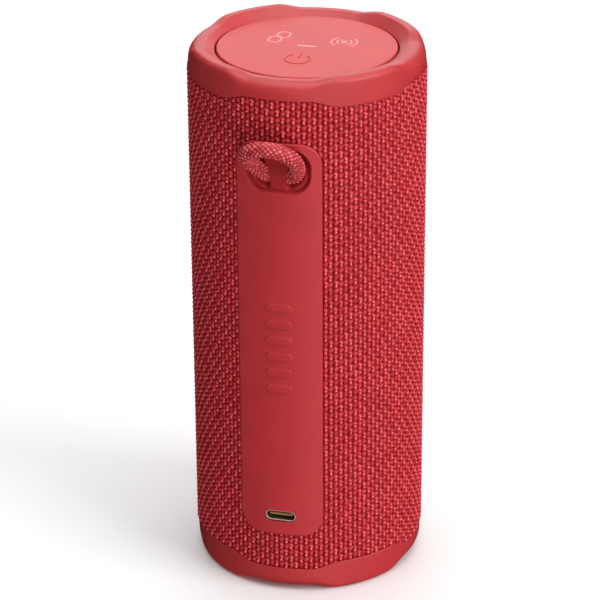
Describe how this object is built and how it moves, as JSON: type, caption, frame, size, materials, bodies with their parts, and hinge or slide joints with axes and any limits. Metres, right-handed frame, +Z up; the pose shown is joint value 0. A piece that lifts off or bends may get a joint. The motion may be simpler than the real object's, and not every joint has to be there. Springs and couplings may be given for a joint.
{
  "type": "portable bluetooth speaker",
  "caption": "Upright cylindrical battery speaker with fabric sleeve, lobed rubber ends, top keys, service strip with charging port and a braided hang loop.",
  "frame": {"origin": "centre of the base plane, on the body's axis", "axes": "+Z up the body's axis; -Y out of the service strip with the hang loop and charging port; +Y out of the play and volume keys"},
  "size_m": [0.068, 0.0767, 0.16],
  "materials": {
    "coral_rubber": "satin moulded elastomer",
    "coral_panel": "fine satin",
    "coral_strip": "satin moulded elastomer",
    "coral_fabric": "coarse woven, coated",
    "loop_braid": "round braid",
    "light_diffuser": "satin translucent",
    "port_steel": "bright plated",
    "port_tongue": "moulded",
    "gold_contact": "gold plated",
    "chassis_black": "moulded texture",
    "board_green": "solder mask",
    "chip_black": "moulded epoxy",
    "switch_white": "moulded",
    "steel": "zinc plated",
    "ferrite": "sintered",
    "copper": "enamelled winding",
    "cone_paper": "pulp",
    "spider_cloth": "resin-treated cloth",
    "seal_rubber": "matt",
    "cell_wrap": "shrink film"
  },
  "bodies": {
    "root": {"fabric_sleeve": "coral_fabric", "top_bumper": "coral_rubber", "bottom_bumper": "coral_rubber", "top_panel": "coral_panel", "base_panel": "coral_rubber", "status_light": "light_diffuser", "status_led": "light_diffuser", "rear_strip": "coral_strip", "grip_ribs": "coral_strip", "loop_pocket": "coral_strip", "usb_shell": "port_steel", "usb_tongue": "port_tongue", "usb_contacts": "gold_contact", "enclosure_tube": "chassis_black", "upper_cap": "chassis_black", "lower_cap": "chassis_black", "cap_seals": "seal_rubber", "key_board": "board_green", "key_switches": "switch_white", "front_key_board": "board_green", "front_switches": "switch_white", "battery_cells": "cell_wrap", "battery_cradle": "chassis_black", "main_board": "board_green", "board_parts": "chip_black", "screws": "steel", "right_driver_yoke": "steel", "right_driver_magnet": "ferrite", "right_driver_gap_plate": "steel", "right_driver_spider": "spider_cloth", "right_driver_surround": "seal_rubber", "right_driver_basket": "chassis_black", "right_radiator_frame": "chassis_black", "right_radiator_surround": "seal_rubber", "left_driver_yoke": "steel", "left_driver_magnet": "ferrite", "left_driver_gap_plate": "steel", "left_driver_spider": "spider_cloth", "left_driver_surround": "seal_rubber", "left_driver_basket": "chassis_black", "left_radiator_frame": "chassis_black", "left_radiator_surround": "seal_rubber"},
    "power_key": {"power_button": "coral_panel"},
    "pairing_key": {"pairing_button": "coral_panel"},
    "share_key": {"share_button": "coral_panel"},
    "volume_up_key": {"volume_up_button": "coral_rubber"},
    "play_key": {"play_button": "coral_rubber"},
    "volume_down_key": {"volume_down_button": "coral_rubber"},
    "loop": {"hang_loop": "loop_braid", "loop_crimp": "steel"},
    "right_cone_body": {"right_driver_cone": "cone_paper", "right_driver_dust_cap": "cone_paper", "right_driver_voice_coil": "copper"},
    "left_cone_body": {"left_driver_cone": "cone_paper", "left_driver_dust_cap": "cone_paper", "left_driver_voice_coil": "copper"},
    "right_radiator_body": {"right_radiator_weight": "steel"},
    "left_radiator_body": {"left_radiator_weight": "steel"}
  },
  "joints": [
    {"name": "power_press", "type": "slide", "parent": "root", "child": "power_key", "axis": [0, 0, -1], "range_m": [0, 0.0005], "stiffness_N_per_m": 900, "springref_m": -0.0003},
    {"name": "pairing_press", "type": "slide", "parent": "root", "child": "pairing_key", "axis": [0, 0, -1], "range_m": [0, 0.0005], "stiffness_N_per_m": 900, "springref_m": -0.0003},
    {"name": "share_press", "type": "slide", "parent": "root", "child": "share_key", "axis": [0, 0, -1], "range_m": [0, 0.0005], "stiffness_N_per_m": 900, "springref_m": -0.0003},
    {"name": "volume_up_press", "type": "slide", "parent": "root", "child": "volume_up_key", "axis": [0, -1, 0], "range_m": [0, 0.0005], "stiffness_N_per_m": 900, "springref_m": -0.0003},
    {"name": "play_press", "type": "slide", "parent": "root", "child": "play_key", "axis": [0, -1, 0], "range_m": [0, 0.0005], "stiffness_N_per_m": 900, "springref_m": -0.0003},
    {"name": "volume_down_press", "type": "slide", "parent": "root", "child": "volume_down_key", "axis": [0, -1, 0], "range_m": [0, 0.0005], "stiffness_N_per_m": 900, "springref_m": -0.0003},
    {"name": "right_cone_stroke", "type": "slide", "parent": "root", "child": "right_cone_body", "axis": [1, 0, 0], "range_m": [-0.002, 0.002], "stiffness_N_per_m": 1200, "deforming": ["right_driver_surround", "right_driver_spider"]},
    {"name": "left_cone_stroke", "type": "slide", "parent": "root", "child": "left_cone_body", "axis": [-1, 0, 0], "range_m": [-0.002, 0.002], "stiffness_N_per_m": 1200, "deforming": ["left_driver_surround", "left_driver_spider"]},
    {"name": "right_radiator_stroke", "type": "slide", "parent": "root", "child": "right_radiator_body", "axis": [1, 0, 0], "range_m": [-0.0025, 0.0025], "stiffness_N_per_m": 900, "deforming": ["right_radiator_surround"]},
    {"name": "left_radiator_stroke", "type": "slide", "parent": "root", "child": "left_radiator_body", "axis": [-1, 0, 0], "range_m": [-0.0025, 0.0025], "stiffness_N_per_m": 900, "deforming": ["left_radiator_surround"]},
    {"name": "loop_swing", "type": "hinge", "parent": "root", "child": "loop", "pos_m": [0, -0.0306, 0.1309], "axis": [1, 0, 0], "range_deg": [0, 35]}
  ]
}
